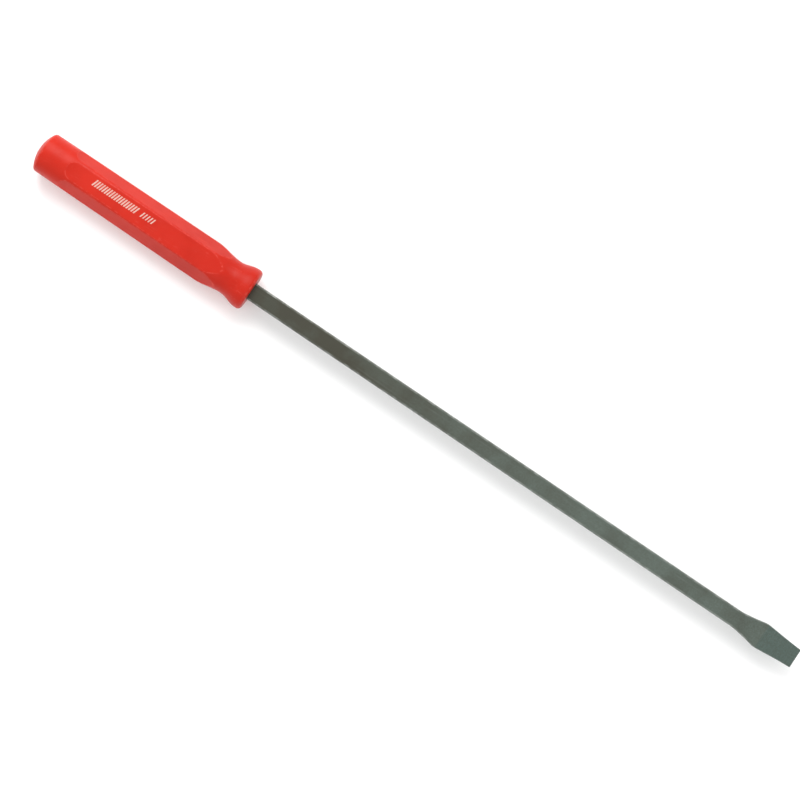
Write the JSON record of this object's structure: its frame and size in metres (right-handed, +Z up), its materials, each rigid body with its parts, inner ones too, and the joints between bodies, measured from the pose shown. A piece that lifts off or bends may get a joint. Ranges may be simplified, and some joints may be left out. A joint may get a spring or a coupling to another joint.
{
  "type": "pry bar",
  "caption": "Straight pry bar: square steel bar with a flared chisel tip, pressed into a moulded plastic screwdriver-style handle with long grip flats, a narrow neck and a round guard.",
  "frame": {"origin": "centre of the footprint at the lowest point, which is the rim of the guard", "axes": "+X along the bar from the domed butt to the chisel tip, +Z up, square to the wide face of the blade"},
  "size_m": [0.635, 0.0316, 0.0315],
  "materials": {
    "handle_plastic": "gloss",
    "bar_steel": "satin",
    "handle_mark": "matte"
  },
  "bodies": {
    "root": {"handle": "handle_plastic", "bar": "bar_steel"}
  },
  "joints": []
}
